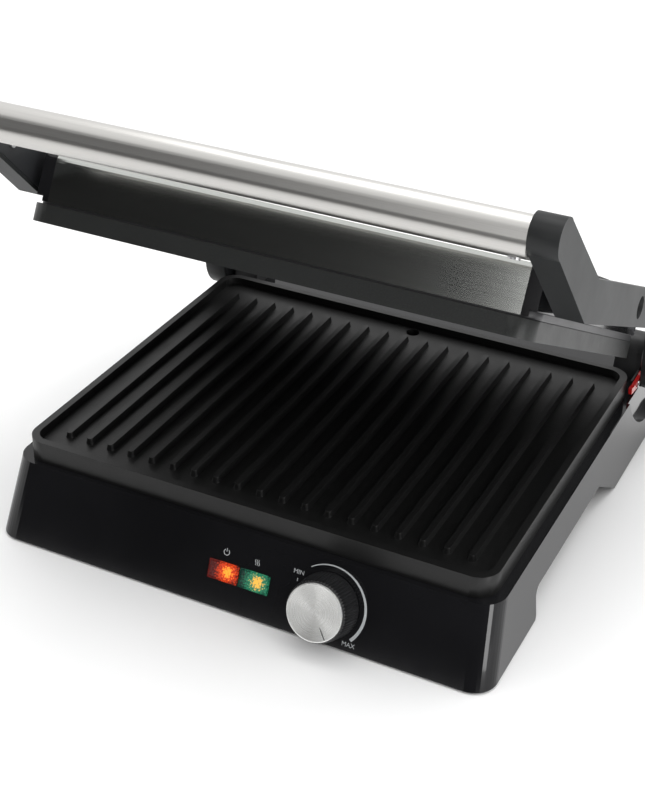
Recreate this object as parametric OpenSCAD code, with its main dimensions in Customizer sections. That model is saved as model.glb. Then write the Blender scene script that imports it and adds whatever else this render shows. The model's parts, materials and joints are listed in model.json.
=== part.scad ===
// Contact grill (panini press) with two ribbed plates, a floating upper plate
// on two swing arms, a thermostat knob, two pilot lights and a drip tray.
// Millimetres. +Z up, -Y is the front, the origin is on the table under the middle.

/* [Base] */
// Width of the base at the table
base_w = 320.6; // [318:0.2:324]
// Depth of the base at the table
base_d = 321; // [319:0.5:324]
// Height of the top deck
base_h = 47; // [46.5:0.5:47.5]
// How far the front panel leans back over its height
front_lean = 18.8; // [17:0.2:20]
// How far each side leans in over its height
side_lean = 4.6; // [4:0.2:5]
// Thickness of the moulded walls
wall = 2.6; // [2.4:0.1:2.8]

/* [Plates] */
// Width of both grill plates
plate_w = 300; // [296:1:300]
// Depth of both grill plates
plate_d = 248; // [244:1:248]
// Ribs on each plate
rib_count = 19; // [15:2:19]
// Distance between two ribs
rib_pitch = 14.5; // [13:0.5:14.5]
// Height of a rib
rib_h = 3.8; // [3:0.2:4]

/* [Lid] */
// Angle between the arms and their closed place
arm_open = 26.72; // [10:0.01:60]
// Tilt of the upper plate against the arms
plate_tilt = 2.34; // [0:0.01:3]
// Height of the lid's top above the table when closed
lid_top = 104; // [103:0.5:106]

/* [Arms and handle] */
// Outer face of each arm, from the middle
arm_outer = 170.3; // [169:0.1:171]
// Thickness of each arm
arm_t = 15.3; // [15:0.1:15.5]
// Height of the handle tube
handle_h = 21; // [20:0.5:22]

/* [Knob and lights] */
// Place of the knob to the right of the middle
knob_x = 60.6; // [56:0.2:64]
// Radius of the knob's metal face
knob_face_r = 16.8; // [16:0.2:17.2]
// Width of one pilot light lens
lens_w = 19; // [18:0.5:19.5]

/* [Hidden] */
$fn = 64;
eps = 0.01;

// Base
corner_r = 14;
leg_gap = 1.5;
deck_t = 2.6;
roof_z = 22;
cover_t = 2.4;
tub_z = 3;
pa = atan(front_lean / base_h);
function half_w(z) = base_w / 2 - side_lean * z / base_h;
function front_y(z) = -base_d / 2 + front_lean * z / base_h;

// Places of the hinge, and of the float pivot when closed
hinge = [0, 137, 64];
pivot = [0, -8.07, 92.5];

// Hinge towers, stop cams and release lever
tower_x = [134, 151.7];
tower_screw_x = 143;
tower_screw_y = [127, 147];
cam_r = 16.5;
lever_pivot = [112, 51.2];
lever_x = [151.9, 154.3];

// Lower plate
low_c = -138 + plate_d / 2;
low_z = base_h;
low_top = 60.7;
low_skin = [52, 55.5];
open_w = 268;
open_d = 204;
open_c = -16;
drain = [0, 99];
drain_r = 4.5;
drain_room = 8.5;
screw_room = 2.3;
plate_screw_x = 141;
plate_screw_y = [-86, 54];
cover_screw_xy = [[147, -40], [147, 20], [78, 122]];
foot_xy = [[136, -126], [132, 134]];

// Upper plate, in its closed place
up_c = -148.07 + plate_d / 2;
up_z = 61.5;
up_top = 72;
up_skin = [66.5, 70];
upper_screw = [134, -100, 52];

// Lid housing, in its closed place
lid_front = -142;
lid_rear = 98;
lid_bottom = 73.2;
lid_bend = 8;
steel_t = 1;
element_half = 82;
terminal_room = 4;
bracket_x = [143.4, 146.4];
cap_in = 141;
cap_out = 149;
frame_top = 76.4;
frame_c = (lid_front + lid_rear) / 2;
frame_d = lid_rear - lid_front - 2 * steel_t - 0.2;

// Arms, in their closed place
arm_in = arm_outer - arm_t;
arm_wall = 2.4;
arm_low = 81;
arm_high = 104;
head = [-201, 118.5];
head_r = 10.5;
hub_r = 25;
notch_r = 48;
notch_x = 154.4;
cover_in = 2;
arm_boss = [[-166, 106.6], [-70, 92.5], [70, 89]];
arm_boss_r = 3.4;
pivot_boss_r = 9.4;
hinge_boss_r = 12;
pin_r = 4;

// Running fit between bodies, fit inside one body, and room around a closing plate
run = 0.05;
snug = 0.03;
lip_gap = 0.15;

// Handle
handle_c = [-199, 116.3];
handle_d = 20;
handle_r = 8.5;
handle_wall = 1.2;
plug_r = 5;
plug_l = 9;
handle_screw_x = arm_in - 7;
handle_hole_r = 1.7;

// Knob, lights
knob_s = 23.7;
shaft_r = 3;
shaft_in = 10;
shaft_out = 12;
knob_recess_r = 9;
knob_h = 16.6;
face_t = 1.2;
lens_h = 11.4;
lens_s = 23.4;
lens_x = [-5.3, 14.5];
lens_proud = 1;

// Drip tray and gland
tray_w = 132;
tray_y = [72, 163];
gland_x = -118;
gland_z = 34;
gland_bore_r = 3.6;
rail_z = 10.6;
rail_t = 2;
gland_end = base_d / 2 - (knob_s - knob_face_r) * sin(pa) + (knob_h + face_t) * cos(pa);

// ---------- helpers ----------

// Points of an arc, from angle a to angle b
function arc(c, r, a, b, n = 10) =
    [for (i = [0:n]) [c[0] + r * cos(a + (b - a) * i / n), c[1] + r * sin(a + (b - a) * i / n)]];

// Rectangle with round corners, centred
module rrect(w, d, r) {
    square([w - 2 * r, d], center = true);
    square([w, d - 2 * r], center = true);
    for (x = [-1, 1], y = [-1, 1])
        translate([x * (w / 2 - r), y * (d / 2 - r)]) circle(r);
}

// Slab with round corners between two heights
module slab(w, d, r, z0, z1, yc) {
    translate([0, yc, z0]) linear_extrude(z1 - z0) rrect(w, d, r);
}

// Outline in Y and Z, extruded along X from x0 to x1
module along_x(x0, x1) {
    translate([x0, 0, 0]) rotate([90, 0, 90]) linear_extrude(x1 - x0) children();
}

// Cylinder along X from x0 to x1
module rod_x(x0, x1, r, y, z) {
    translate([x0, y, z]) rotate([0, 90, 0]) cylinder(r = r, h = x1 - x0);
}

// Block between two corners
module block(a, b) {
    translate(a) cube(b - a);
}

// Sets its children on the front panel: X to the right, Y up the panel, Z out of it
module on_panel(x, s) {
    translate([0, -base_d / 2, 0]) rotate([90 - pa, 0, 0]) translate([x, s, 0]) children();
}

// Turns the arms up from their closed place
module arms_at_rest() {
    translate(hinge) rotate([-arm_open, 0, 0]) translate(-hinge) children();
}

// Turns the lid up with the arms, and tips it on the float pivot
module lid_at_rest() {
    arms_at_rest() translate(pivot) rotate([-plate_tilt, 0, 0]) translate(-pivot) children();
}

// Mirrored pair
module both_sides() {
    children();
    mirror([1, 0, 0]) children();
}

// Heating rod in a U with two straight terminals at the back
module heating_u(half, y_front, y_back, z, r) {
    bend = 30;
    translate([-half + bend, y_front, z]) rotate([0, 90, 0])
        cylinder(r = r, h = 2 * (half - bend));
    for (s = [-1, 1]) {
        translate([s * half, y_front + bend, z]) rotate([-90, 0, 0])
            cylinder(r = r, h = y_back - y_front - bend);
        translate([s * half, y_back, z]) rotate([-90, 0, 0]) cylinder(r = r / 2, h = 10);
    }
    translate([half - bend, y_front + bend, z]) rotate([0, 0, -90])
        rotate_extrude(angle = 90) translate([bend, 0]) circle(r);
    translate([-half + bend, y_front + bend, z]) rotate([0, 0, 180])
        rotate_extrude(angle = 90) translate([bend, 0]) circle(r);
}

// Ribs of a plate, pointing up from z = 0, tapered and with round ends
module ribs(y0, y1) {
    foot = 2.6;
    crest = 1.7;
    for (i = [0:rib_count - 1]) {
        x = (i - (rib_count - 1) / 2) * rib_pitch;
        translate([x, y1, 0]) rotate([90, 0, 0]) linear_extrude(y1 - y0)
            polygon([[-foot, 0], [foot, 0], [crest, rib_h], [-crest, rib_h]]);
        for (y = [y0, y1]) translate([x, y, 0]) cylinder(r1 = foot, r2 = crest, h = rib_h);
    }
}

// Machine screw pointing up, head below z = 0
module screw_up(r, l, head_h = 2.2) {
    translate([0, 0, -head_h]) cylinder(r = 1.9 * r, h = head_h);
    cylinder(r = r, h = l);
}

// ---------- base ----------

// Solid form of the base between two heights, set in by t
module base_form(z0, z1, t) {
    hull() for (z = [z0, z1 - eps], x = [-1, 1]) {
        translate([x * (half_w(z) - corner_r), front_y(z) + corner_r, z])
            cylinder(r = corner_r - t, h = eps, $fn = 40);
        translate([x * (half_w(z) - corner_r), base_d / 2 - corner_r, z])
            cylinder(r = corner_r - t, h = eps, $fn = 40);
    }
}

// Cylinders around the hinge at both ends, outside x0
module hinge_discs(x0, r) {
    both_sides() rod_x(x0, base_w / 2 + 5, r, hinge[1], hinge[2]);
}

// Outline of the arch between the legs at each side
module arch_outline() {
    polygon(concat(
        [[-91, -1]],
        arc([-89.7, 5], 5, -90, 0, 5),
        arc([-78.7, 16], 6, 180, 90, 6),
        arc([26, 10], 12, 90, 50, 5),
        [[66, -1]]
    ));
}

module base_shell() {
    color("#141416") difference() {
        union() {
            difference() {
                base_form(leg_gap, base_h, 0);
                base_form(-1, base_h - deck_t, wall);
            }
            intersection() {
                base_form(leg_gap, base_h, 0);
                hinge_discs(notch_x - wall, notch_r + wall);
            }
            both_sides() for (p = cover_screw_xy)
                translate([p[0], p[1], roof_z + cover_t]) cylinder(r = 4, h = base_h - roof_z - cover_t - 1);
        }
        both_sides() for (p = cover_screw_xy)
            translate([p[0], p[1], roof_z]) cylinder(r = 1.65, h = 14);
        hinge_discs(notch_x, notch_r);
        along_x(-base_w, base_w) arch_outline();
        slab(open_w, open_d, 10, base_h - 5, base_h + 1, open_c);
        translate([drain[0], drain[1], base_h - 5]) cylinder(r = drain_room, h = 6);
        for (x = [-1, 1], y = plate_screw_y)
            translate([x * plate_screw_x, y, base_h - 5]) cylinder(r = screw_room, h = 6);
        for (x = [-1, 1], y = tower_screw_y)
            translate([x * tower_screw_x, y, base_h - 5]) cylinder(r = screw_room, h = 6);
        on_panel(knob_x, knob_s) translate([0, 0, -4]) cylinder(r = 4.9, h = 5);
        for (x = lens_x) on_panel(x, lens_s) translate([-lens_w / 2 - 0.1, -lens_h / 2 - 0.1, -5])
            cube([lens_w + 0.2, lens_h + 0.2, 6]);
        block([-tray_w / 2 - 7, 140, -1], [tray_w / 2 + 7, 170, roof_z]);
        translate([gland_x, 150, gland_z]) rotate([-90, 0, 0]) cylinder(r = 6.1, h = 20);
    }
}

// Room taken by the three deep tubs of the cover, set in by t
module tub_zones(t) {
    block([-170, -170, 0], [170, -92 - t, 40]);
    both_sides() block([86 + t, 67 + t, 0], [170, 170, 40]);
}

module base_cover() {
    gap = 0.3;
    color("#232325") difference() {
        union() {
            base_form(roof_z, roof_z + cover_t, wall + gap);
            intersection() {
                base_form(tub_z, roof_z + cover_t, wall + gap);
                tub_zones(0);
            }
            tray_rails();
        }
        intersection() {
            base_form(tub_z + cover_t, roof_z + cover_t + 1, wall + gap + cover_t);
            tub_zones(cover_t);
        }
        block([-24, -base_d / 2, tub_z + cover_t], [84, -120, roof_z + cover_t + 1]);
        hinge_discs(notch_x - wall - gap, notch_r + wall + gap);
        both_sides() for (p = cover_screw_xy)
            translate([p[0], p[1], roof_z - 1]) cylinder(r = 1.8, h = 5);
        both_sides() for (p = foot_xy)
            translate([p[0], p[1], 0]) cylinder(r = 3.1, h = 10);
        translate([drain[0], drain[1], roof_z - 1]) cylinder(r = drain_room, h = 5);
        for (i = [-6:6]) block([i * 14 - 2.5, -50, roof_z - 1], [i * 14 + 2.5, -10, roof_z + 4]);
    }
}

// Two rails under the cover that hold the tray by its rim
module tray_rails() {
    rail_x = tray_w / 2 + 4.6;
    both_sides() {
        block([rail_x, 78, rail_z], [rail_x + rail_t, 156, roof_z]);
        block([rail_x - 4, 78, rail_z], [rail_x, 156, rail_z + 1.8]);
    }
}

module rubber_feet() {
    color("#0e0e0e") both_sides() for (p = foot_xy) translate([p[0], p[1], 0]) {
        cylinder(r1 = 8.5, r2 = 9, h = tub_z);
        cylinder(r = 3, h = tub_z + cover_t);
        translate([0, 0, tub_z + cover_t]) cylinder(r1 = 4, r2 = 3, h = 2.5);
    }
}

module cover_screws() {
    color("silver") both_sides() for (p = cover_screw_xy)
        translate([p[0], p[1], roof_z]) screw_up(1.6, 10, 1.8);
}

module cord_gland() {
    back = base_d / 2;
    color("#101010") translate([gland_x, 0, gland_z]) rotate([-90, 0, 0]) difference() {
        union() {
            translate([0, 0, back]) cylinder(r = 9, h = 3);
            translate([0, 0, back + 3]) cylinder(r1 = 7, r2 = 5.4, h = gland_end - back - 3);
            translate([0, 0, back - wall - 2]) cylinder(r = 6, h = wall + 2 + eps);
            translate([0, 0, back - wall - 4]) cylinder(r = 8, h = 3.9);
        }
        translate([0, 0, back - 10]) cylinder(r = gland_bore_r, h = 60);
    }
}

// ---------- lower plate ----------

module lower_plate() {
    color("#1d1d1f") {
        difference() {
            slab(plate_w, plate_d, 13, low_z, low_top, low_c);
            slab(plate_w - 12, plate_d - 12, 8, low_z - 1, low_skin[0], low_c);
            slab(plate_w - 9, plate_d - 9, 9, low_skin[1], low_top + 1, low_c);
            translate([drain[0], drain[1], 40]) cylinder(r = drain_r, h = 20);
        }
        translate([0, 0, low_skin[1] - eps]) ribs(-117.5, 86);
        difference() {
            translate([drain[0], drain[1], 19]) cylinder(r = 7, h = low_skin[0] - 19 + eps);
            translate([drain[0], drain[1], 15]) cylinder(r = drain_r, h = 60);
        }
        for (x = [-1, 1], y = plate_screw_y) translate([x * plate_screw_x, y, low_z]) difference() {
            cylinder(r = 4.5, h = low_skin[0] - low_z + eps);
            translate([0, 0, -1]) cylinder(r = 2.05, h = 5);
        }
    }
}

module lower_element() {
    color("#6b6761") heating_u(element_half, -92, 60, low_skin[0] - 3.6, 3.5);
}

// Open sheet pan with a rim, standing up from z0 to z1
module pan(w, d, z0, z1, yc) {
    t = 0.8;
    difference() {
        union() {
            slab(w, d, 10, z0, z1, yc);
            slab(w + 14, d + 14, 12, z1 - t, z1, yc);
        }
        slab(w - 2 * t, d - 2 * t, 9, z0 + t, z1 + 1, yc);
    }
}

module lower_reflector() {
    color("#c9cccf") difference() {
        pan(open_w - 8, open_d - 8, 36, base_h - deck_t, open_c);
        for (s = [-1, 1]) translate([s * element_half, 66, 30]) cylinder(r = terminal_room, h = 10);
    }
}

module plate_screws() {
    color("silver") for (x = [-1, 1], y = plate_screw_y)
        translate([x * plate_screw_x, y, base_h - deck_t]) screw_up(2, 6);
}

module thermal_fuse() {
    color("#d8d2c0") rod_x(-14, 14, 3, 20, 32.9);
}

// ---------- thermostat, knob and lights ----------

module thermostat() {
    inner = -wall * cos(pa) - 0.05;
    color("#cfc9b8") on_panel(knob_x, knob_s) difference() {
        union() {
            translate([-14, -9.5, inner - 13.5]) cube([28, 22, 13.5]);
            translate([0, 0, inner - eps]) cylinder(r = 4.8, h = 3.5 - inner);
            for (x = [-9, 9]) translate([x - 3, 4, inner - 19]) cube([6, 0.8, 6]);
        }
        translate([0, 0, inner - 9]) cylinder(r = shaft_r + run, h = 30);
    }
}

module thermostat_nut() {
    color("silver") on_panel(knob_x, knob_s) translate([0, 0, eps]) difference() {
        cylinder(r = 7.4, h = 2.4, $fn = 6);
        translate([0, 0, -1]) cylinder(r = 4.85, h = 5);
    }
}

module thermostat_shaft() {
    color("#b9bcc0") on_panel(knob_x, knob_s) translate([0, 0, -shaft_in])
        cylinder(r = shaft_r, h = shaft_in + shaft_out);
}

module knob_body() {
    grip = 36;
    color("#161617") on_panel(knob_x, knob_s) difference() {
        translate([0, 0, 0.6]) cylinder(r1 = 19.2, r2 = 17.8, h = knob_h - 0.6);
        for (i = [0:grip - 1]) rotate([0, 0, i * 360 / grip]) translate([19.6, 0, -1])
            rotate([0, -5, 0]) cylinder(r = 0.8, h = knob_h + 6, $fn = 16);
        translate([0, 0, -1]) cylinder(r = knob_recess_r, h = 5);
        cylinder(r = shaft_r + snug, h = shaft_out + snug);
    }
}

module knob_face() {
    color("#c8c9c7") on_panel(knob_x, knob_s) translate([0, 0, knob_h]) difference() {
        cylinder(r = knob_face_r, h = face_t);
        rotate([0, 0, -56]) translate([knob_face_r - 9, -0.6, 0.6]) cube([8, 1.2, 2]);
    }
}

// Lens that fills its window and stands a little proud, hollow behind
module lens(x) {
    on_panel(x, lens_s) difference() {
        translate([-lens_w / 2, -lens_h / 2, -5.5]) cube([lens_w, lens_h, 5.5 + lens_proud]);
        translate([-lens_w / 2 + 1.5, -lens_h / 2 + 1.5, -6]) cube([lens_w - 3, lens_h - 3, 5.4]);
    }
}

module power_lens() {
    color("#c22a12") lens(lens_x[0]);
}

module ready_lens() {
    color("#1f7a4d") lens(lens_x[1]);
}

// Neon lamp lying across the lens, on two leads
module lamp(x) {
    on_panel(x, lens_s) {
        translate([-5.5, 0, -3.4]) rotate([0, 90, 0]) cylinder(r = 2.2, h = 11);
        for (s = [-4, 4]) translate([s, 0, -5.6]) cylinder(r = 0.5, h = 2);
    }
}

module power_lamp() {
    color("#ffb060") lamp(lens_x[0]);
}

module ready_lamp() {
    color("#ffb060") lamp(lens_x[1]);
}

module lamp_board() {
    mid = (lens_x[0] + lens_x[1]) / 2;
    color("#2d5a3a") on_panel(mid, lens_s) {
        translate([-23, -8, -7.2]) cube([46, 16, 1.6]);
        for (x = [-22, 20.4]) translate([x, -8, -5.6]) cube([1.6, 16, 5.6 - wall * cos(pa) - 0.05]);
    }
}

module terminal_block() {
    color("#e4e0d4") difference() {
        block([-124, 96, tub_z + cover_t], [-98, 112, 18]);
        for (x = [-118, -111, -104]) translate([x, 90, 13]) rotate([-90, 0, 0]) cylinder(r = 1.6, h = 30);
    }
}

// Point to point lead, round at each bend
module lead(points, r) {
    for (i = [0:len(points) - 2]) {
        d = points[i + 1] - points[i];
        translate(points[i]) rotate([0, acos(d[2] / norm(d)), atan2(d[1], d[0])])
            cylinder(r = r, h = norm(d), $fn = 24);
    }
    for (i = [1:len(points) - 2]) translate(points[i]) sphere(r, $fn = 24);
}

// Supply lead from the terminal block to the thermostat
module base_wiring() {
    color("#a83a2c") lead([
        [-104, 99, 13], [-104, 84, 13], [-104, 84, 29], [-80, 84, 29],
        [-80, -110, 29], [51.6, -110, 29], [51.6, -126, 20]
    ], 1.2);
}

// ---------- drip tray ----------

module drip_tray() {
    y0 = tray_y[0];
    y1 = tray_y[1];
    color("#1a1a1c") difference() {
        union() {
            block([-tray_w / 2, y0, 3], [tray_w / 2, y1, 15]);
            block([-tray_w / 2 - 4, y0, 12.6], [tray_w / 2 + 4, y1 - 8, 15]);
            block([-tray_w / 2 - 4, y1 - 3, 3], [tray_w / 2 + 4, y1, 20]);
        }
        block([-tray_w / 2 + 2, y0 + 2, 5], [tray_w / 2 - 2, y1 - 3, 16]);
    }
}

// ---------- hinge ----------

// Outline of a hinge tower, seen from the side
module tower_outline() {
    translate([hinge[1], hinge[2]]) circle(11);
    polygon([
        [hinge[1] - 16, base_h], [hinge[1] + 16, base_h],
        [hinge[1] + 10.9, hinge[2] + 1.5], [hinge[1] - 10.9, hinge[2] + 1.5]
    ]);
}

module tower() {
    difference() {
        along_x(tower_x[0], tower_x[1]) tower_outline();
        rod_x(tower_x[0] - 1, tower_x[1] + 1, pin_r + run, hinge[1], hinge[2]);
        for (y = tower_screw_y)
            translate([tower_screw_x, y, base_h - 1]) cylinder(r = 1.75, h = 7);
    }
}

module left_hinge_tower() {
    color("#19191b") mirror([1, 0, 0]) tower();
}

module right_hinge_tower() {
    color("#19191b") {
        tower();
        difference() {
            block([150.4, lever_pivot[0] - 4, base_h], [151.6, hinge[1] - 12, 55]);
            rod_x(148, 153, 1.52, lever_pivot[0], lever_pivot[1]);
        }
    }
}

module tower_screws() {
    color("silver") both_sides() for (y = tower_screw_y)
        translate([tower_screw_x, y, base_h - deck_t]) screw_up(1.7, 7, 2);
}

// Thumb lever with a tongue that holds the stop cam
module release_lever() {
    color("#c21a1c") difference() {
        along_x(lever_x[0], lever_x[1]) union() {
            translate(lever_pivot) circle(3.2);
            polygon([[99, 49.8], [112, 48], [120, 50], [122.8, 54.2], [121.8, 55.6],
                [118, 54.5], [112, 54.4], [104, 54.2], [98, 55]]);
        }
        rod_x(150, 157, 1.5 + run, lever_pivot[0], lever_pivot[1]);
    }
}

module lever_pin() {
    color("silver") {
        rod_x(150.3, lever_x[1] + 0.1, 1.5, lever_pivot[0], lever_pivot[1]);
        rod_x(lever_x[1] + 0.1, lever_x[1] + 0.8, 2.2, lever_pivot[0], lever_pivot[1]);
    }
}

// Small leaf that pushes the tongue up
module lever_spring() {
    color("silver") {
        block([152.2, 112, base_h], [154, 121, base_h + 0.4]);
        translate([152.2, 112, base_h]) rotate([5, 0, 0]) cube([1.8, 9, 0.4]);
    }
}

module stop_cam() {
    difference() {
        rod_x(152.5, 154.7, cam_r, hinge[1], hinge[2]);
        rod_x(152, 155, pin_r, hinge[1], hinge[2]);
        block([150, 118, 50], [156, 126.6, 58.6]);
    }
}

module left_stop_cam() {
    color("#9a9c9f") mirror([1, 0, 0]) stop_cam();
}

module right_stop_cam() {
    color("#9a9c9f") stop_cam();
}

module hinge_pin() {
    difference() {
        union() {
            rod_x(131.5, 133.8, 7, hinge[1], hinge[2]);
            rod_x(133.7, 167.4, pin_r, hinge[1], hinge[2]);
        }
        rod_x(131, 170, 2.2, hinge[1], hinge[2]);
    }
}

module left_hinge_pin() {
    color("#b4b6b8") mirror([1, 0, 0]) hinge_pin();
}

module right_hinge_pin() {
    color("#b4b6b8") hinge_pin();
}

// ---------- arms and handle ----------

// Leg and bar of an arm, seen from the side, between the head and the hub
join_r = head_r - 0.2;
arm_points = [
    head + join_r * [-sin(19.7), -cos(19.7)], [-129.6, arm_low],
    [98, arm_low], [hinge[1] - 23, hinge[2] - 9.8], [hinge[1], hinge[2]],
    [hinge[1] + 7.9, hinge[2] + 23.7], [95, arm_high], [-121, arm_high],
    head + join_r * [sin(18), cos(18)]
];

// Unit vector to the left of the way from a to b
function left_of(a, b) = [a[1] - b[1], b[0] - a[0]] / norm(b - a);

// Outline drawn anticlockwise, moved in by t
function inset(p, t) = [
    for (i = [0:len(p) - 1])
        let (
            before = left_of(p[(i + len(p) - 1) % len(p)], p[i]),
            after = left_of(p[i], p[(i + 1) % len(p)])
        )
        p[i] + t * (before + after) / (1 + before * after)
];

// Side outline of an arm, set in by t
module arm_outline(t) {
    translate(head) circle(head_r - t);
    translate([hinge[1], hinge[2]]) circle(hub_r - t);
    polygon(inset(arm_points, t));
}

// Arm shell at the right side, open on its inner face
module arm() {
    floor_x = arm_outer - arm_wall;
    difference() {
        union() {
            difference() {
                along_x(arm_in, arm_outer) arm_outline(0);
                along_x(arm_in - 1, floor_x) arm_outline(arm_wall);
            }
            rod_x(arm_in, floor_x + eps, pivot_boss_r, pivot[1], pivot[2]);
            rod_x(arm_in, floor_x + eps, hinge_boss_r, hinge[1], hinge[2]);
            along_x(arm_in, floor_x + eps) translate(head) circle(head_r - 1);
            for (p = arm_boss) rod_x(arm_in + cover_in, floor_x + eps, arm_boss_r, p[0], p[1]);
        }
        rod_x(arm_in - 1, arm_outer + 1, pin_r + run, pivot[1], pivot[2]);
        rod_x(arm_in + 5, arm_outer + 1, 6.7, pivot[1], pivot[2]);
        rod_x(arm_in - 1, floor_x, pin_r + run, hinge[1], hinge[2]);
        for (p = arm_boss) rod_x(arm_in, arm_in + 9, 1.25, p[0], p[1]);
        rod_x(arm_in - 1, arm_in + plug_l + 0.2, plug_r + run, handle_c[0], handle_c[1]);
    }
}

// Plate that closes an arm from its inner face
module arm_cover() {
    difference() {
        along_x(arm_in, arm_in + cover_in) difference() {
            arm_outline(arm_wall + lip_gap);
            translate([pivot[1], pivot[2]]) circle(pivot_boss_r + 0.2);
            translate([hinge[1], hinge[2]]) circle(hinge_boss_r + 0.2);
            translate(head) circle(head_r - 1 + lip_gap);
        }
        for (p = arm_boss) rod_x(arm_in - 1, arm_in + 5, 1.5, p[0], p[1]);
    }
}

module right_arm() {
    color("#3b3d3f") arms_at_rest() arm();
}

module left_arm() {
    color("#3b3d3f") arms_at_rest() mirror([1, 0, 0]) arm();
}

module right_arm_cover() {
    color("#2f3133") arms_at_rest() arm_cover();
}

module left_arm_cover() {
    color("#2f3133") arms_at_rest() mirror([1, 0, 0]) arm_cover();
}

module arm_cover_screws() {
    color("silver") arms_at_rest() both_sides() for (p = arm_boss) {
        rod_x(arm_in - 1.2, arm_in, 2.4, p[0], p[1]);
        rod_x(arm_in - eps, arm_in + 8, 1.2, p[0], p[1]);
    }
}

// Section of the handle, set in by t
module handle_profile(t) {
    rrect(handle_d - 2 * t, handle_h - 2 * t, handle_r - t);
}

// Screw holes at both ends of the bar, h high from below it
module handle_holes(h) {
    for (x = [-1, 1]) translate([x * handle_screw_x, handle_c[0], handle_c[1] - 20])
        cylinder(r = handle_hole_r, h = h);
}

module handle_tube() {
    color("#c6c7c6") arms_at_rest() difference() {
        along_x(-arm_in + 0.1, arm_in - 0.1) translate(handle_c) difference() {
            handle_profile(0);
            handle_profile(handle_wall);
        }
        handle_holes(14);
    }
}

// Core of the bar, with a round plug into each arm's head
module handle_core() {
    color("#2a2a2c") arms_at_rest() difference() {
        union() {
            along_x(-arm_in + 0.2, arm_in - 0.2)
                translate(handle_c) handle_profile(handle_wall + lip_gap);
            rod_x(-arm_in - plug_l, arm_in + plug_l, plug_r, handle_c[0], handle_c[1]);
        }
        handle_holes(20);
    }
}

module handle_screws() {
    low = handle_c[1] - handle_h / 2;
    color("silver") arms_at_rest() for (x = [-1, 1])
        translate([x * handle_screw_x, handle_c[0], low]) screw_up(1.6, 8, 1);
}

// Lead to the upper heating rod, inside the left arm
module arm_lead() {
    x = -(arm_in + 6.5);
    color("#a83a2c") arms_at_rest() {
        lead([[x, 4, 96], [x, 98, 96], [x, 120, 80]], 1.4);
    }
}

// ---------- lid ----------

// Places of the four screws between the upper plate and the lid frame
module upper_screw_places() {
    both_sides() for (y = [upper_screw[1], upper_screw[2]])
        translate([upper_screw[0], y, 0]) children();
}

module upper_plate() {
    color("#2b2c2e") lid_at_rest() {
        difference() {
            slab(plate_w, plate_d, 13, up_z, up_top, up_c);
            slab(plate_w - 9, plate_d - 9, 9, up_z - 1, up_skin[0], up_c);
            slab(plate_w - 12, plate_d - 12, 8, up_skin[1], up_top + 1, up_c);
        }
        translate([0, 0, up_skin[0] + eps]) mirror([0, 0, 1]) ribs(-127.5, 76);
        upper_screw_places() translate([0, 0, up_skin[1] - eps]) difference() {
            cylinder(r = 4.5, h = up_top - up_skin[1] + eps);
            translate([0, 0, 0.6]) cylinder(r = 2.05, h = 8);
        }
    }
}

module upper_element() {
    color("#6b6761") lid_at_rest() heating_u(element_half, -112, 44, up_skin[1] + 3.6, 3.5);
}

module upper_reflector() {
    color("#c9cccf") lid_at_rest() difference() {
        mirror([0, 0, 1]) pan(258, 204, -84, -up_top, up_c);
        for (s = [-1, 1]) translate([s * element_half, 50, 80]) cylinder(r = terminal_room, h = 10);
        upper_screw_places() translate([0, 0, up_top - 1]) cylinder(r = screw_room, h = 3);
    }
}

// Moulded frame that carries the lid's covers and is screwed to the plate
module lid_frame() {
    color("#55585b") lid_at_rest() difference() {
        union() {
            difference() {
                slab(299, frame_d, 10, up_top, frame_top, frame_c);
                slab(286, frame_d - 14, 6, up_top - 1, frame_top + 1, frame_c);
            }
            upper_screw_places() translate([-4, -8, up_top + 1])
                cube([16, 16, frame_top - up_top - 1]);
        }
        upper_screw_places() translate([0, 0, up_top - 1]) cylinder(r = screw_room, h = 10);
    }
}

module upper_plate_screws() {
    color("silver") lid_at_rest() upper_screw_places()
        translate([0, 0, frame_top]) rotate([180, 0, 0]) screw_up(2, 5.5);
}

module upper_fuse() {
    color("#d8d2c0") lid_at_rest() rod_x(-14, 14, 3, -20, 87.1);
}

// Side outline of the lid housing, set in by t
module lid_outline(t) {
    r = lid_bend - t;
    polygon(concat(
        [[lid_front + t, lid_bottom]],
        arc([lid_front + lid_bend, lid_top - lid_bend], r, 180, 90),
        arc([lid_rear - lid_bend, lid_top - lid_bend], r, 90, 0),
        [[lid_rear - t, lid_bottom]]
    ));
}

module lid_cover() {
    color("#b9bab8") lid_at_rest() along_x(-cap_in, cap_in) difference() {
        lid_outline(0);
        lid_outline(steel_t);
    }
}

// Moulded end of the lid housing, at the right side
module lid_cap() {
    difference() {
        union() {
            along_x(cap_in, cap_out) intersection() {
                lid_outline(0);
                translate([lid_front, frame_top]) square([lid_rear - lid_front, 60]);
            }
            for (y = [lid_front, lid_rear - 1.1])
                block([cap_in, y, lid_bottom], [cap_out - 4, y + 1.1, frame_top + eps]);
        }
        along_x(cap_in - 1, cap_out - 2.5) lid_outline(2.2);
        rod_x(cap_in, cap_out + 2, 4.3, pivot[1], pivot[2]);
    }
}

module right_lid_cap() {
    color("#1b1b1d") lid_at_rest() lid_cap();
}

module left_lid_cap() {
    color("#1b1b1d") lid_at_rest() mirror([1, 0, 0]) lid_cap();
}

module pivot_brackets() {
    color("#8f9194") lid_at_rest() both_sides() difference() {
        block([bracket_x[0], pivot[1] - 20, frame_top], [bracket_x[1], pivot[1] + 20, lid_top - 3]);
        rod_x(bracket_x[0] - 1, bracket_x[1] + 1, pin_r + snug, pivot[1], pivot[2]);
    }
}

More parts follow.
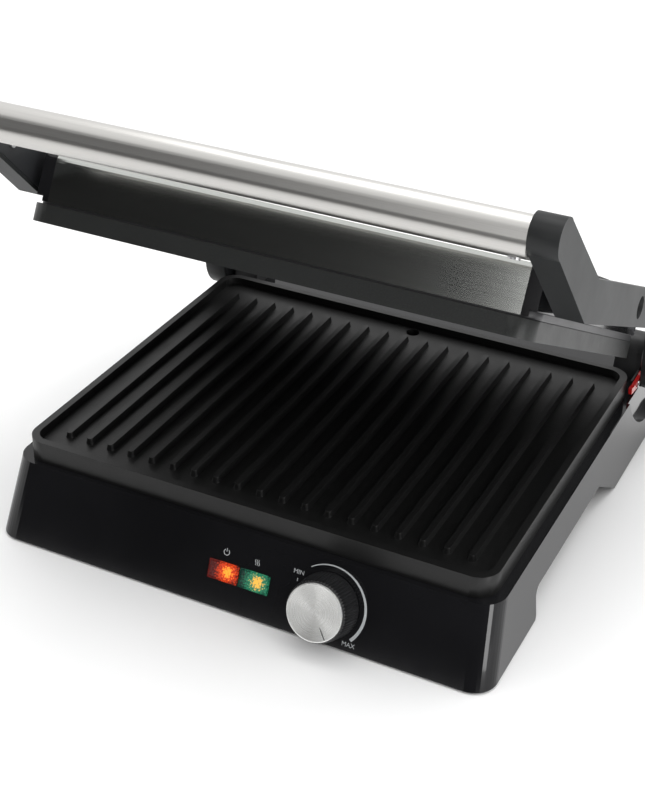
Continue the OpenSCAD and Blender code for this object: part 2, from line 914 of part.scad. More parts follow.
module pivot_pins() {
    color("#b4b6b8") lid_at_rest() both_sides() {
        rod_x(bracket_x[0] - 0.1, arm_in + 5.2, pin_r, pivot[1], pivot[2]);
        rod_x(bracket_x[0] - 3.2, bracket_x[0] - 0.02, 6.5, pivot[1], pivot[2]);
        difference() {
            rod_x(arm_in + 5.1, arm_in + 8, 6, pivot[1], pivot[2]);
            rod_x(arm_in + 6.6, arm_in + 9, 2.4, pivot[1], pivot[2]);
        }
    }
}

module pivot_spacers() {
    color("#d9d9d6") lid_at_rest() both_sides() difference() {
        rod_x(cap_out + 0.02, arm_in - 0.3, 9, pivot[1], pivot[2]);
        rod_x(cap_out - 1, arm_in, pin_r + 0.02, pivot[1], pivot[2]);
    }
}

// ---------- assembly ----------

base_shell();
base_cover();
rubber_feet();
cover_screws();
cord_gland();
lower_plate();
lower_element();
lower_reflector();
plate_screws();
thermal_fuse();
thermostat();
thermostat_nut();
thermostat_shaft();
knob_body();
knob_face();
power_lens();
ready_lens();
power_lamp();
ready_lamp();
lamp_board();
terminal_block();
base_wiring();
drip_tray();
left_hinge_tower();
right_hinge_tower();
tower_screws();
release_lever();
lever_pin();
lever_spring();
left_stop_cam();
right_stop_cam();
left_hinge_pin();
right_hinge_pin();
left_arm();
right_arm();
left_arm_cover();
right_arm_cover();
arm_cover_screws();
handle_tube();
handle_core();
handle_screws();
arm_lead();
upper_plate();
upper_element();
upper_reflector();
upper_plate_screws();
upper_fuse();
lid_frame();
lid_cover();
left_lid_cap();
right_lid_cap();
pivot_brackets();
pivot_pins();
pivot_spacers();
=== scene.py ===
"""Looks of the contact grill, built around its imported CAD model. Metres, +Z up, -Y is the front."""

import json
import math

import bmesh
import bpy
from mathutils import Matrix, Vector


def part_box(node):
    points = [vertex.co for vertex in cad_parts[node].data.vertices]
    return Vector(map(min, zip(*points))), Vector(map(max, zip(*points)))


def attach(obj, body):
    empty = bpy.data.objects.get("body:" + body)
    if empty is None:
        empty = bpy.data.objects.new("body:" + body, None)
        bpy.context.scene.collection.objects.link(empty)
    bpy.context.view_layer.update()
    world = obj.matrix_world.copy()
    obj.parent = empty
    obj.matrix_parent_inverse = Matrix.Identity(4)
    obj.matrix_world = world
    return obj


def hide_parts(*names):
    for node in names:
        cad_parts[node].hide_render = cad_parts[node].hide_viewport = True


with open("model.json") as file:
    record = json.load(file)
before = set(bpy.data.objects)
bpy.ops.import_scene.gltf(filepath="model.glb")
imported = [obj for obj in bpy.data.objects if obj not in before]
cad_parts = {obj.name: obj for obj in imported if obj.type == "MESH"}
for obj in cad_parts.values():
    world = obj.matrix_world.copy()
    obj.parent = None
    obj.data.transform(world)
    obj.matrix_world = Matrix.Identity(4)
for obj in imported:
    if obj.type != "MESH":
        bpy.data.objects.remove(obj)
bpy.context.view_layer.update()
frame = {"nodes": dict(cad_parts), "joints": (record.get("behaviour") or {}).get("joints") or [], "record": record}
nodes = frame["nodes"]
MM = 0.001


# ---------- camera ----------

CAMERA_AT = Vector((0.34812, -0.74696, 0.56081))
CAMERA_AZIMUTH = math.radians(26.17)
CAMERA_ELEVATION = math.radians(31.68)
CAMERA_ROLL = math.radians(0.94)
SENSOR = 36.0
LENS = 68.32


def add_camera():
    """Camera from its place, the direction it looks along and its roll."""
    back = Vector((
        math.sin(CAMERA_AZIMUTH) * math.cos(CAMERA_ELEVATION),
        -math.cos(CAMERA_AZIMUTH) * math.cos(CAMERA_ELEVATION),
        math.sin(CAMERA_ELEVATION),
    ))
    level = (-back).cross(Vector((0, 0, 1))).normalized()
    above = level.cross(-back)
    right = level * math.cos(CAMERA_ROLL) + above * math.sin(CAMERA_ROLL)
    up = above * math.cos(CAMERA_ROLL) - level * math.sin(CAMERA_ROLL)
    data = bpy.data.cameras.new("camera")
    data.sensor_width = SENSOR
    data.lens = LENS
    data.clip_start = 0.01
    camera = bpy.data.objects.new("camera", data)
    bpy.context.scene.collection.objects.link(camera)
    camera.matrix_world = Matrix((
        (right.x, up.x, back.x, CAMERA_AT.x),
        (right.y, up.y, back.y, CAMERA_AT.y),
        (right.z, up.z, back.z, CAMERA_AT.z),
        (0, 0, 0, 1),
    ))
    bpy.context.scene.camera = camera


# ---------- material helpers ----------

class Shader:
    """A Principled material with short calls for the nodes in front of it."""

    def __init__(self, name, color, rough, metallic=0.0, **sockets):
        self.material = bpy.data.materials.new(name)
        self.material.use_nodes = True
        self.tree = self.material.node_tree
        self.main = self.tree.nodes["Principled BSDF"]
        self.main.inputs["Base Color"].default_value = (*color, 1)
        self.main.inputs["Roughness"].default_value = rough
        self.main.inputs["Metallic"].default_value = metallic
        for socket, value in sockets.items():
            self.main.inputs[socket.replace("_", " ")].default_value = value
        self.coords = self.node("ShaderNodeTexCoord").outputs["Object"]

    def node(self, kind, **settings):
        made = self.tree.nodes.new(kind)
        for key, value in settings.items():
            setattr(made, key, value)
        return made

    def link(self, a, b):
        self.tree.links.new(a, b)

    def stretched(self, scale):
        """The object's coordinates, scaled, for marks that run one way."""
        mapping = self.node("ShaderNodeMapping")
        mapping.inputs["Scale"].default_value = scale
        self.link(self.coords, mapping.inputs["Vector"])
        return mapping.outputs["Vector"]

    def noise(self, scale, detail=3.0, vector=None, rough=0.55):
        tex = self.node("ShaderNodeTexNoise")
        tex.inputs["Scale"].default_value = scale
        tex.inputs["Detail"].default_value = detail
        tex.inputs["Roughness"].default_value = rough
        self.link(vector or self.coords, tex.inputs["Vector"])
        return tex.outputs["Fac"]

    def ramp(self, fac, *stops):
        """Stops are (place, grey) or (place, (r, g, b))."""
        ramp = self.node("ShaderNodeValToRGB")
        elements = ramp.color_ramp.elements
        while len(elements) < len(stops):
            elements.new(0.5)
        for element, (place, value) in zip(elements, stops):
            element.position = place
            value = value if isinstance(value, tuple) else (value, value, value)
            element.color = (*value, 1)
        self.link(fac, ramp.inputs["Fac"])
        return ramp.outputs["Color"]

    def set(self, socket, output):
        self.link(output, self.main.inputs[socket])

    def vary_rough(self, fac, low, high):
        spread = self.node("ShaderNodeMapRange")
        spread.inputs["To Min"].default_value = low
        spread.inputs["To Max"].default_value = high
        self.link(fac, spread.inputs["Value"])
        self.set("Roughness", spread.outputs["Result"])

    def bump(self, fac, strength, distance):
        bump = self.node("ShaderNodeBump")
        bump.inputs["Strength"].default_value = strength
        bump.inputs["Distance"].default_value = distance
        self.link(fac, bump.inputs["Height"])
        self.set("Normal", bump.outputs["Normal"])


def around(color, spread):
    """Darker and lighter shade of a colour."""
    low = tuple(c * (1 - spread) for c in color)
    high = tuple(min(1, c * (1 + spread)) for c in color)
    return low, high


# ---------- materials ----------

def moulded(name, color, rough, grain=900.0, specular=0.5):
    """Grained moulded plastic with a little unevenness in its sheen."""
    s = Shader(name, color, rough, Specular_IOR_Level=specular)
    low, high = around(color, 0.12)
    s.set("Base Color", s.ramp(s.noise(18.0), (0.3, low), (0.7, high)))
    s.vary_rough(s.noise(45.0, 4.0), rough - 0.06, rough + 0.06)
    s.bump(s.noise(grain, 4.0), 0.25, 0.00005)
    return s.material


def glossy(name, color, rough):
    """Polished moulding: faint flow waves under a hard clear skin and light handling marks."""
    s = Shader(name, color, rough, Coat_Weight=0.05, Coat_Roughness=0.03, Specular_IOR_Level=0.30)
    low, high = around(color, 0.2)
    s.set("Base Color", s.ramp(s.noise(12.0), (0.35, low), (0.65, high)))
    s.vary_rough(s.noise(30.0, 6.0, rough=0.7), rough * 0.6, rough * 1.5)
    s.bump(s.noise(60.0, 2.0), 0.04, 0.0002)
    return s.material


def coated(name, color, rough):
    """Sprayed non-stick coating on a casting, with fine specks and an orange-peel skin."""
    s = Shader(name, color, rough, Specular_IOR_Level=0.35)
    speck = s.noise(2600.0, 2.0)
    low, high = around(color, 0.35)
    bright = tuple(c * 2.4 for c in color)
    s.set("Base Color", s.ramp(speck, (0.35, low), (0.62, high), (0.72, bright)))
    s.vary_rough(s.noise(70.0, 5.0), rough - 0.08, rough + 0.08)
    s.bump(s.noise(520.0, 5.0), 0.35, 0.00012)
    return s.material


def brushed(name, color, rough, streaks, anisotropic=0.5):
    """Brushed metal. streaks scales the coordinates: small along the marks, large across."""
    s = Shader(name, color, rough, 1.0, Anisotropic=anisotropic)
    line = s.noise(1.0, 5.0, s.stretched(streaks), 0.7)
    low, high = around(color, 0.05)
    s.set("Base Color", s.ramp(line, (0.3, low), (0.7, high)))
    s.vary_rough(line, rough - 0.03, rough + 0.04)
    s.bump(line, 0.05, 0.00002)
    return s.material


def spun(name, color):
    """Face turned on a lathe: ring marks around the piece's own Z axis."""
    s = Shader(name, color, 0.30, 1.0, Anisotropic=0.9)
    tangent = s.node("ShaderNodeTangent", direction_type="RADIAL", axis="Z")
    s.set("Tangent", tangent.outputs["Tangent"])
    flat = s.node("ShaderNodeVectorMath", operation="MULTIPLY")
    s.link(s.coords, flat.inputs[0])
    flat.inputs[1].default_value = (1, 1, 0)
    radius = s.node("ShaderNodeVectorMath", operation="LENGTH")
    s.link(flat.outputs["Vector"], radius.inputs[0])
    rings = s.node("ShaderNodeTexNoise", noise_dimensions="1D")
    rings.inputs["Scale"].default_value = 4000.0
    s.link(radius.outputs["Value"], rings.inputs["W"])
    low, high = around(color, 0.06)
    s.set("Base Color", s.ramp(rings.outputs["Fac"], (0.3, low), (0.7, high)))
    s.vary_rough(rings.outputs["Fac"], 0.22, 0.36)
    return s.material


def plain_metal(name, color, rough):
    """Plated or pressed metal with slight blotches and fine scratches."""
    s = Shader(name, color, rough, 1.0)
    low, high = around(color, 0.15)
    s.set("Base Color", s.ramp(s.noise(140.0, 4.0), (0.3, low), (0.7, high)))
    s.vary_rough(s.noise(300.0, 5.0), rough - 0.08, rough + 0.1)
    s.bump(s.noise(900.0, 3.0), 0.1, 0.00003)
    return s.material


def lens(name, color, glow, core, spot, reach):
    """Tinted lens over a neon lamp: a hot core at spot fades through glow into the tint within reach."""
    cell_scale, cell_push = 900.0, 0.45
    core_end, glow_end = 0.38, 0.58
    s = Shader(name, color, 0.16, Specular_IOR_Level=0.35)
    cells = s.node("ShaderNodeTexVoronoi")
    cells.inputs["Scale"].default_value = cell_scale
    s.link(s.coords, cells.inputs["Vector"])
    low, high = around(color, 0.45)
    s.set("Base Color", s.ramp(cells.outputs["Distance"], (0.1, high), (0.6, low)))
    away = s.node("ShaderNodeVectorMath", operation="DISTANCE")
    s.link(s.coords, away.inputs[0])
    away.inputs[1].default_value = spot
    wobble = s.node("ShaderNodeMath", operation="MULTIPLY_ADD")
    s.link(cells.outputs["Distance"], wobble.inputs[0])
    wobble.inputs[1].default_value = reach * cell_push
    s.link(away.outputs["Value"], wobble.inputs[2])
    fade = s.node("ShaderNodeMapRange")
    fade.inputs["From Max"].default_value = reach
    s.link(wobble.outputs["Value"], fade.inputs["Value"])
    dim = around(color, 0.75)[0]
    s.set("Emission Color", s.ramp(fade.outputs["Result"], (core_end, core), (glow_end, glow), (1.0, dim)))
    s.main.inputs["Emission Strength"].default_value = 1.1
    return s.material


def rubbery(name, color):
    """Soft moulding or sleeve, dull and finely pitted."""
    s = Shader(name, color, 0.7)
    low, high = around(color, 0.25)
    s.set("Base Color", s.ramp(s.noise(220.0, 4.0), (0.3, low), (0.7, high)))
    s.bump(s.noise(1400.0, 3.0), 0.3, 0.0001)
    return s.material


def printed(name, color):
    """Screen-printed ink with a slightly ragged tone."""
    s = Shader(name, color, 0.5)
    low, high = around(color, 0.15)
    s.set("Base Color", s.ramp(s.noise(2200.0, 3.0), (0.3, low), (0.7, high)))
    return s.material


def make_materials():
    """Materials by the record's slots, and spun, print and pointer for the panel's own pieces."""
    return {
        "base_gloss": glossy("black_gloss", (0.008, 0.008, 0.009), 0.07),
        "cap_gloss": glossy("cap_black_gloss", (0.010, 0.010, 0.011), 0.10),
        "base_matte": moulded("black_matt", (0.018, 0.018, 0.019), 0.5),
        "feet_rubber": rubbery("foot_rubber", (0.015, 0.015, 0.015)),
        "screw_steel": plain_metal("zinc_plate", (0.62, 0.62, 0.63), 0.32),
        "lower_coating": coated("lower_nonstick", (0.007, 0.007, 0.007), 0.40),
        "upper_coating": coated("upper_nonstick", (0.014, 0.015, 0.0145), 0.42),
        "element_metal": plain_metal("heater_sheath", (0.20, 0.18, 0.16), 0.45),
        "reflector_sheet": plain_metal("bright_sheet", (0.80, 0.81, 0.82), 0.25),
        "pale_ceramic": moulded("pale_moulding", (0.68, 0.63, 0.54), 0.6),
        "knob_black": moulded("knob_black", (0.012, 0.012, 0.013), 0.34, grain=1500.0),
        "knob_metal": brushed("knob_face_metal", (0.72, 0.72, 0.71), 0.25, (300.0, 300.0, 300.0)),
        "red_lens": lens(
            "red_lens", (0.10, 0.003, 0.001), (0.70, 0.05, 0.003), (1.0, 0.42, 0.03),
            (0.0030, 0.0004, 0.0), 0.0110,
        ),
        "green_lens": lens(
            "green_lens", (0.0, 0.035, 0.022), (0.02, 0.20, 0.10), (1.0, 0.50, 0.06),
            (0.0024, 0.0002, 0.0), 0.0130,
        ),
        "spun": spun("spun_aluminium", (0.93, 0.93, 0.91)),
        "print": printed("panel_print", (0.50, 0.52, 0.53)),
        "pointer": moulded("pointer_groove", (0.03, 0.03, 0.03), 0.5),
        "lamp_glass": plain_metal("lamp_glow", (1.0, 0.72, 0.42), 0.2),
        "board_green": moulded("circuit_board", (0.05, 0.18, 0.08), 0.4),
        "lead_red": rubbery("lead_sleeve", (0.4, 0.06, 0.03)),
        "tray_black": moulded("tray_black", (0.02, 0.02, 0.022), 0.35),
        "lever_red": glossy("lever_red", (0.45, 0.012, 0.012), 0.18),
        "cam_steel": plain_metal("pressed_steel", (0.42, 0.42, 0.44), 0.35),
        "arm_grey": moulded("arm_dark_grey", (0.020, 0.021, 0.0215), 0.46, grain=1300.0, specular=0.22),
        "arm_inner": moulded("arm_inner_grey", (0.022, 0.023, 0.025), 0.42),
        "handle_steel": brushed("handle_steel", (0.58, 0.57, 0.55), 0.33, (4.0, 3200.0, 3200.0), 0.45),
        # frame_grey: a grey lighter than the frame's dark glossy plastic. It is a painted reflection of the bright
        # surround on the frame's side strip, added on top of the real reflection the strip gets from the surround
        # and lamps.
        "frame_grey": moulded("frame_grey", (0.05, 0.05, 0.053), 0.4),
        "lid_steel": brushed("lid_steel", (0.50, 0.51, 0.49), 0.15, (5.0, 3200.0, 3200.0), 0.15),
        "spacer_white": moulded("nylon", (0.7, 0.7, 0.68), 0.45),
    }


# Width of the rounded edge on each node that gets one, in millimetres
EDGES = {
    "base_cover": 0.5, "lower_plate": 0.7, "upper_plate": 0.7,
    "left_arm": 0.9, "right_arm": 0.9, "left_lid_cap": 0.9, "right_lid_cap": 0.9,
    "left_hinge_tower": 0.6, "right_hinge_tower": 0.6, "drip_tray": 0.6,
    "lid_frame": 0.4, "release_lever": 0.3, "terminal_block": 0.3,
}


def dress_nodes(materials):
    """Gives every CAD node the material of its slot, and those in EDGES soft edges."""
    slots = {row["node"]: row["material_slot"] for row in frame["record"]["subparts"]}
    for name, node in nodes.items():
        node.data.materials.clear()
        node.data.materials.append(materials[slots[name]])
        if name in EDGES:
            soften(node, EDGES[name] * MM)


# ---------- mesh helpers ----------

WELD_REACH = 1e-6
BEVEL_STEPS = 2
BEVEL_FROM = math.radians(32)


def new_object(name, mesh, material, body, place):
    piece = bpy.data.objects.new(name, mesh)
    bpy.context.scene.collection.objects.link(piece)
    piece.matrix_world = place
    piece.data.materials.clear()
    piece.data.materials.append(material)
    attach(piece, body)
    return piece


def mesh_from(name, make):
    """Mesh filled by make(bmesh), with its normals outward."""
    bm = bmesh.new()
    make(bm)
    bmesh.ops.recalc_face_normals(bm, faces=bm.faces)
    mesh = bpy.data.meshes.new(name)
    bm.to_mesh(mesh)
    bm.free()
    return mesh


def smooth(mesh, angle=math.radians(35)):
    """Smooth shading, with edges sharper than the angle left sharp."""
    for polygon in mesh.polygons:
        polygon.use_smooth = True
    mesh.set_sharp_from_angle(angle=angle)


def soften(piece, width):
    """Rounds the edges of a piece by modifiers, so its own mesh stays."""
    weld = piece.modifiers.new("weld", "WELD")
    weld.merge_threshold = WELD_REACH
    bevel = piece.modifiers.new("edges", "BEVEL")
    bevel.width = width
    bevel.segments = BEVEL_STEPS
    bevel.limit_method = "ANGLE"
    bevel.angle_limit = BEVEL_FROM
    bevel.harden_normals = True
    bevel.use_clamp_overlap = True


def bridge(bm, rings):
    """Joins each closed ring of points to the next with quads."""
    for lower, upper in zip(rings, rings[1:]):
        for i in range(len(lower)):
            j = (i + 1) % len(lower)
            bm.faces.new((lower[i], lower[j], upper[j], upper[i]))


def close_ends(bm, rings):
    bm.faces.new(rings[0][::-1])
    bm.faces.new(rings[-1])


def lathe(bm, profile, steps, radius_at=None):
    """Turns a profile of (radius, height) about Z. radius_at may shape the radius by angle."""
    rings = []
    for r, z in profile:
        ring = []
        for i in range(steps):
            a = 2 * math.pi * i / steps
            shaped = r if radius_at is None else radius_at(r, z, a)
            ring.append(bm.verts.new((shaped * math.cos(a), shaped * math.sin(a), z)))
        rings.append(ring)
    bridge(bm, rings)
    close_ends(bm, rings)


# ---------- control panel ----------

knob_joint = next(j for j in frame["joints"] if j["name"] == "heat_knob")
PANEL_OUT = Vector(knob_joint["axis"]).normalized()
PANEL_RIGHT = Vector((1, 0, 0))
PANEL_UP = PANEL_OUT.cross(PANEL_RIGHT)
KNOB_AT = Vector(knob_joint["pos_m"])


def on_panel(x, s, lift=0.0):
    """Frame on the front panel: millimetres right of, up from and out from the knob's centre."""
    at = KNOB_AT + (PANEL_RIGHT * x + PANEL_UP * s + PANEL_OUT * lift) * MM
    turn = Matrix((PANEL_RIGHT, PANEL_UP, PANEL_OUT)).transposed()
    return Matrix.Translation(at) @ turn.to_4x4()


def panel_x(node):
    """How far right of the knob's centre a node's middle is, in millimetres."""
    low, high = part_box(node)
    return ((low[0] + high[0]) / 2 - KNOB_AT.x) / MM


# ---------- knob ----------

# Plastic grip, hollow behind for the shaft and the nut
KNOB_RADIUS = 19.2 * MM
KNOB_BACK = 0.6 * MM
KNOB_TOP = 16.6 * MM
SHAFT_HOLE = 3.03 * MM
SHAFT_END = 12.03 * MM
RECESS_RADIUS = 9.0 * MM
RECESS_DEPTH = 4.0 * MM

# Ribs, which start above the foot and stay off the front edge
GRIP_RIBS = 60
STEPS_PER_RIB = 8
RIB_DEPTH = 0.55 * MM
RIB_START = 1.4 * MM
RIB_INNER = 17 * MM
RIB_SHARPNESS = 0.6

# Turned face, dished towards its middle
FACE_RADIUS = 16.78 * MM
FACE_THICK = 1.2 * MM
FACE_EDGE = 0.45 * MM
FACE_DISH = 0.25 * MM
FACE_STEP = 0.4 * MM
FACE_MIDDLE = 1.2 * MM
FACE_SIDES = 160

# Pointer line on the face
POINTER_TURN = math.radians(-56)
POINTER_START = 8.6 * MM
POINTER_END = 15.8 * MM
POINTER_HALF_WIDTH = 0.32 * MM
POINTER_DEPTH = 0.2 * MM
POINTER_PROUD = 0.012 * MM
POINTER_STEPS = 12
POINTER_TAPER_STEPS = 3


def face_height(radius):
    return KNOB_TOP + FACE_THICK - FACE_DISH * (1 - (radius / FACE_RADIUS) ** 2)


def add_grip(materials):
    hollow = [
        (SHAFT_HOLE, SHAFT_END), (SHAFT_HOLE, RECESS_DEPTH),
        (RECESS_RADIUS, RECESS_DEPTH), (RECESS_RADIUS, KNOB_BACK),
    ]
    side = [
        (18.6 * MM, KNOB_BACK), (KNOB_RADIUS, 1.0 * MM), (19.15 * MM, 2.0 * MM), (19.0 * MM, 4.0 * MM),
        (18.6 * MM, 8.0 * MM), (18.2 * MM, 12.0 * MM), (17.9 * MM, 15.2 * MM), (17.6 * MM, 16.1 * MM),
        (17.2 * MM, 16.5 * MM), (16.9 * MM, KNOB_TOP), (15.0 * MM, KNOB_TOP),
    ]

    def ribbed(r, z, a):
        if z < RIB_START or r < RIB_INNER:
            return r
        wave = 0.5 + 0.5 * math.cos(GRIP_RIBS * a)
        return r - RIB_DEPTH * (1 - wave ** RIB_SHARPNESS)

    def make(bm):
        lathe(bm, hollow + side, GRIP_RIBS * STEPS_PER_RIB, ribbed)

    mesh = mesh_from("knob_grip", make)
    smooth(mesh, math.radians(50))
    grip = new_object("knob_grip", mesh, materials["knob_black"], "knob", on_panel(0, 0))
    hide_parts("knob_body")


def add_disc(materials):
    top = KNOB_TOP + FACE_THICK
    radius = FACE_RADIUS - FACE_EDGE
    profile = [
        (FACE_RADIUS, KNOB_TOP), (FACE_RADIUS, top - FACE_EDGE),
        (FACE_RADIUS - 0.15 * MM, top - 0.12 * MM), (radius, top),
    ]
    while radius > FACE_MIDDLE:
        radius -= FACE_STEP
        profile.append((radius, face_height(radius)))

    def make(bm):
        lathe(bm, profile, FACE_SIDES)

    mesh = mesh_from("knob_disc", make)
    smooth(mesh)
    disc = new_object("knob_disc", mesh, materials["spun"], "knob", on_panel(0, 0))
    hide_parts("knob_face")


def add_pointer(materials):
    """Dark line towards the rim, narrower at its inner end."""
    section = ((-1, POINTER_DEPTH), (-1, 0), (1, 0), (1, POINTER_DEPTH))

    def make(bm):
        rows = []
        for i in range(POINTER_STEPS + 1):
            r = POINTER_START + (POINTER_END - POINTER_START) * i / POINTER_STEPS
            z = face_height(r) + POINTER_PROUD
            half = POINTER_HALF_WIDTH * (0.55 + 0.45 * min(1, i / POINTER_TAPER_STEPS))
            rows.append([bm.verts.new((r, side * half, z - drop)) for side, drop in section])
        bridge(bm, rows)
        close_ends(bm, rows)

    place = on_panel(0, 0) @ Matrix.Rotation(POINTER_TURN, 4, "Z")
    mesh = mesh_from("knob_pointer", make)
    new_object("knob_pointer", mesh, materials["pointer"], "knob", place)


# ---------- pilot lights ----------

LENS_HALF_W = 9.5 * MM
LENS_HALF_H = 5.7 * MM
LENS_PROUD = 1.0 * MM
LENS_DEPTH = 5.4 * MM
LENS_RIM = 1.1 * MM
LENS_CHAMFER = 0.3 * MM
LENS_LIP = 0.2 * MM
LENS_SUNK = 0.25 * MM
LENS_UP = -0.3
PRISM_PITCH = 0.95 * MM
PRISM_HEIGHT = 0.22 * MM


def add_lens(node, name, slot, materials):
    """Lens with a smooth rim around a field of small prisms."""
    inner_w, inner_h = LENS_HALF_W - LENS_RIM, LENS_HALF_H - LENS_RIM
    across, up = round(2 * inner_w / PRISM_PITCH), round(2 * inner_h / PRISM_PITCH)
    field = LENS_PROUD - LENS_SUNK

    def add_rim(bm):
        def ring(w, h, z):
            return [bm.verts.new((x * w, y * h, z)) for x, y in ((-1, -1), (1, -1), (1, 1), (-1, 1))]

        rings = [
            ring(LENS_HALF_W, LENS_HALF_H, -LENS_DEPTH),
            ring(LENS_HALF_W, LENS_HALF_H, LENS_PROUD - LENS_CHAMFER),
            ring(LENS_HALF_W - LENS_CHAMFER, LENS_HALF_H - LENS_CHAMFER, LENS_PROUD),
            ring(inner_w + LENS_LIP, inner_h + LENS_LIP, LENS_PROUD),
            ring(inner_w, inner_h, field),
        ]
        bridge(bm, rings)
        bm.faces.new(rings[0][::-1])

    def add_prisms(bm):
        grid = [[bm.verts.new((inner_w * (2 * i / across - 1), inner_h * (2 * j / up - 1), field))
                 for i in range(across + 1)] for j in range(up + 1)]
        for j in range(up):
            for i in range(across):
                corners = (grid[j][i], grid[j][i + 1], grid[j + 1][i + 1], grid[j + 1][i])
                middle = sum((c.co for c in corners), Vector()) / 4
                tip = bm.verts.new(middle + Vector((0, 0, PRISM_HEIGHT)))
                for k in range(4):
                    bm.faces.new((corners[k], corners[(k + 1) % 4], tip))

    def make(bm):
        add_rim(bm)
        add_prisms(bm)
        bmesh.ops.remove_doubles(bm, verts=bm.verts, dist=WELD_REACH)

    place = on_panel(panel_x(node), LENS_UP)
    piece = new_object(name, mesh_from(name, make), materials[slot], "base", place)
    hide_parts(node)


# ---------- print on the panel, in millimetres from the knob's centre ----------

PRINT_THICK = 0.04
PRINT_LIFT = 0.03
LETTER_HALF_THICK = 0.02
LETTER_LIFT = 0.05
LETTER_HEIGHT = 2.7
# Font size that makes a capital letter one unit high
SIZE_PER_HEIGHT = 1.38

BAND_RADIUS = 23.0
BAND_WIDTHS = (0.5, 1.9)
BAND_ANGLES = (126, -42)
BAND_STEPS = 72
MIN_AT = (-20.2, 13.4)
MAX_AT = (16.4, -18.3)
TICK_AT = (-20.3, 9.0)
TICK_HALF = 0.9
TICK_WIDTH = 0.45

STANDBY_UP = 11.4
STANDBY_RADIUS = 1.75
STANDBY_ANGLES = (125, 415)
STANDBY_STEPS = 40
STANDBY_WIDTH = 0.42
STANDBY_BAR = (0.3, 2.4)

HEAT_UP = 11.2
WAVE_COLUMNS = (-1.1, 0, 1.1)
WAVE_SWING = 0.32
WAVE_START = -1.8
WAVE_STEP = 0.42
WAVE_POINTS = 9
WAVE_WIDTH = 0.36


def flat_shape(name, outlines, x, s, materials):
    """Thin print on the panel from closed outlines."""
    def make(bm):
        for outline in outlines:
            low = [bm.verts.new((px * MM, py * MM, 0)) for px, py in outline]
            high = [bm.verts.new((px * MM, py * MM, PRINT_THICK * MM)) for px, py in outline]
            rings = [low, high]
            bridge(bm, rings)
            close_ends(bm, rings)

    place = on_panel(x, s, PRINT_LIFT)
    new_object(name, mesh_from(name, make), materials["print"], "base", place)


def arc_band(radius, widths, angles, steps):
    """Outline of an arc band whose width and angle, in degrees, go from the first value to the second."""
    outer, inner = [], []
    for i in range(steps + 1):
        a = math.radians(angles[0] + (angles[1] - angles[0]) * i / steps)
        half = (widths[0] + (widths[1] - widths[0]) * i / steps) / 2
        outer.append(((radius + half) * math.cos(a), (radius + half) * math.sin(a)))
        inner.append(((radius - half) * math.cos(a), (radius - half) * math.sin(a)))
    return outer + inner[::-1]


def stroke(points, width):
    """Outline of a line of constant width through points."""
    left, right = [], []
    for i, point in enumerate(points):
        before = Vector(points[max(i - 1, 0)])
        after = Vector(points[min(i + 1, len(points) - 1)])
        along = (after - before).normalized()
        side = Vector((-along.y, along.x)) * width / 2
        left.append(tuple(Vector(point) + side))
        right.append(tuple(Vector(point) - side))
    return left + right[::-1]


def add_word(word, x, s, materials):
    """A dial mark in plain letters, printed on the panel."""
    curve = bpy.data.curves.new("mark_" + word, "FONT")
    curve.body = word
    curve.size = LETTER_HEIGHT * MM * SIZE_PER_HEIGHT
    curve.align_x = "CENTER"
    curve.align_y = "CENTER"
    curve.extrude = LETTER_HALF_THICK * MM
    text = bpy.data.objects.new("letters", curve)
    bpy.context.scene.collection.objects.link(text)
    bpy.context.view_layer.update()
    mesh = bpy.data.meshes.new_from_object(text.evaluated_get(bpy.context.evaluated_depsgraph_get()))
    bpy.data.objects.remove(text)
    mesh.name = "mark_" + word
    place = on_panel(x, s, LETTER_LIFT)
    new_object("mark_" + word, mesh, materials["print"], "base", place)


def add_dial_marks(materials):
    flat_shape("heat_band", [arc_band(BAND_RADIUS, BAND_WIDTHS, BAND_ANGLES, BAND_STEPS)], 0, 0, materials)
    flat_shape("min_tick", [stroke([(0, -TICK_HALF), (0, TICK_HALF)], TICK_WIDTH)], *TICK_AT, materials)
    add_word("MIN", *MIN_AT, materials)
    add_word("MAX", *MAX_AT, materials)


def add_standby_sign(materials):
    """A broken ring with a bar through its gap, above the power light."""
    ring = arc_band(STANDBY_RADIUS, (STANDBY_WIDTH, STANDBY_WIDTH), STANDBY_ANGLES, STANDBY_STEPS)
    bar = stroke([(0, y) for y in STANDBY_BAR], STANDBY_WIDTH)
    flat_shape("standby_sign", [ring, bar], panel_x("power_lens"), STANDBY_UP, materials)


def add_heat_sign(materials):
    """Three rising waves above the ready light."""
    waves = []
    for column in WAVE_COLUMNS:
        points = [
            (column + WAVE_SWING * math.sin(t * math.pi / 4), WAVE_START + t * WAVE_STEP)
            for t in range(WAVE_POINTS)
        ]
        waves.append(stroke(points, WAVE_WIDTH))
    flat_shape("heat_sign", waves, panel_x("ready_lens"), HEAT_UP, materials)


def add_panel(materials):
    add_grip(materials)
    add_disc(materials)
    add_pointer(materials)
    add_lens("power_lens", "power_window", "red_lens", materials)
    add_lens("ready_lens", "ready_window", "green_lens", materials)
    add_dial_marks(materials)
    add_standby_sign(materials)
    add_heat_sign(materials)


# ---------- stage ----------

FLOOR_HALF = 8.0

# Strength of the white surround, and of the dark patch in it that only reflections and bounced light see
WHITE = 1.1
DARK = 0.015
# Soft edges of the patch: it lies towards the front and below this height, as parts of a unit direction
PATCH_Y = (-0.62, -0.34)
PATCH_Z = (0.50, 0.72)

# Name, place, the point it faces, size and power in watts
LAMPS = (
    ("softbox_front", (0.02, -1.85, 1.22), (0, -0.1, 0.2), (0.8, 0.5), 2.8),
    ("strip_right", (0.336, -0.248, 0.152), (0.147, -0.145, 0.152), (0.04, 0.30), 0.3),
    ("top", (0, 0.5, 1.9), (0, 0, 0.1), (1.8, 1.2), 16),
)


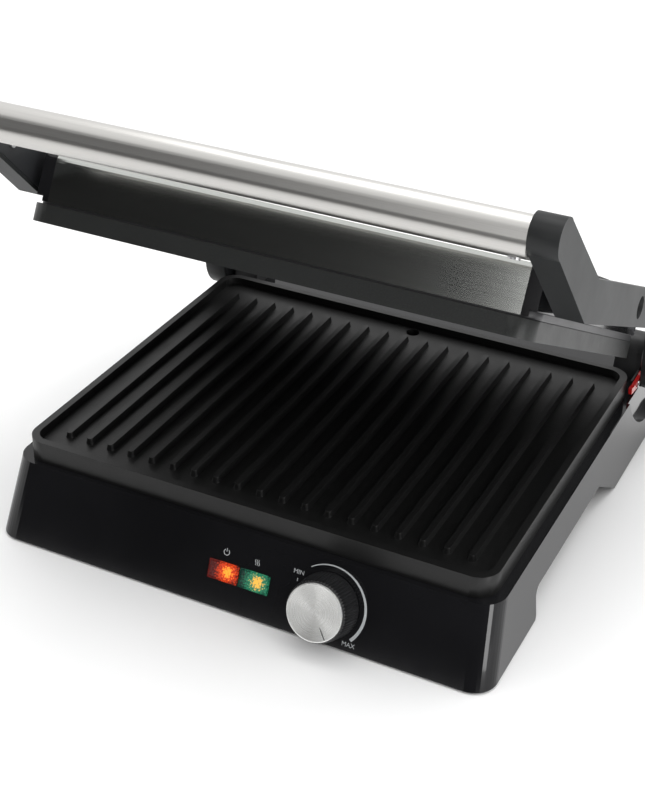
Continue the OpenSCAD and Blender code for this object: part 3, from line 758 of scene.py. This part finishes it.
def area_light(name, at, aim, size, power):
    """Rectangular lamp that lights the object but doesn't show to the camera."""
    data = bpy.data.lights.new(name, "AREA")
    data.shape = "RECTANGLE"
    data.size, data.size_y = size
    data.energy = power
    lamp = bpy.data.objects.new(name, data)
    bpy.context.scene.collection.objects.link(lamp)
    lamp.location = at
    lamp.visible_camera = False
    lamp.rotation_euler = (Vector(aim) - Vector(at)).to_track_quat("-Z", "Y").to_euler()


def add_floor():
    mesh = bpy.data.meshes.new("floor")
    corners = [(x * FLOOR_HALF, y * FLOOR_HALF, 0) for x, y in ((-1, -1), (1, -1), (1, 1), (-1, 1))]
    mesh.from_pydata(corners, [], [(0, 1, 2, 3)])
    floor = bpy.data.objects.new("floor", mesh)
    bpy.context.scene.collection.objects.link(floor)
    s = Shader("floor_paint", (0.95, 0.95, 0.95), 0.7)
    s.set("Base Color", s.ramp(s.noise(3.0), (0.3, 0.94), (0.7, 0.96)))
    floor.data.materials.append(s.material)


def add_surround():
    """White world with the dark patch, which is taken out again for what the camera sees directly."""
    world = bpy.data.worlds.new("studio")
    bpy.context.scene.world = world
    world.use_nodes = True
    tree = world.node_tree

    def smoothly(value, start, end, low, high):
        ease = tree.nodes.new("ShaderNodeMapRange")
        ease.interpolation_type = "SMOOTHSTEP"
        ease.inputs["From Min"].default_value = start
        ease.inputs["From Max"].default_value = end
        ease.inputs["To Min"].default_value = low
        ease.inputs["To Max"].default_value = high
        tree.links.new(value, ease.inputs["Value"])
        return ease.outputs["Result"]

    def combine(operation, a, b):
        math_node = tree.nodes.new("ShaderNodeMath")
        math_node.operation = operation
        tree.links.new(a, math_node.inputs[0])
        tree.links.new(b, math_node.inputs[1])
        return math_node.outputs["Value"]

    coords = tree.nodes.new("ShaderNodeTexCoord")
    split = tree.nodes.new("ShaderNodeSeparateXYZ")
    tree.links.new(coords.outputs["Generated"], split.inputs["Vector"])
    front = smoothly(split.outputs["Y"], *PATCH_Y, 1.0, 0.0)
    low = smoothly(split.outputs["Z"], *PATCH_Z, 1.0, 0.0)
    level = smoothly(combine("MULTIPLY", front, low), 0.0, 1.0, WHITE, DARK)
    seen = smoothly(tree.nodes.new("ShaderNodeLightPath").outputs["Is Camera Ray"], 0.0, 1.0, 0.0, WHITE)
    back = tree.nodes["Background"]
    back.inputs["Color"].default_value = (1, 1, 1, 1)
    tree.links.new(combine("MAXIMUM", level, seen), back.inputs["Strength"])


bpy.context.scene.view_settings.view_transform = "Standard"
add_camera()
materials = make_materials()
dress_nodes(materials)
add_panel(materials)
add_floor()
add_surround()
for lamp in LAMPS:
    area_light(*lamp)
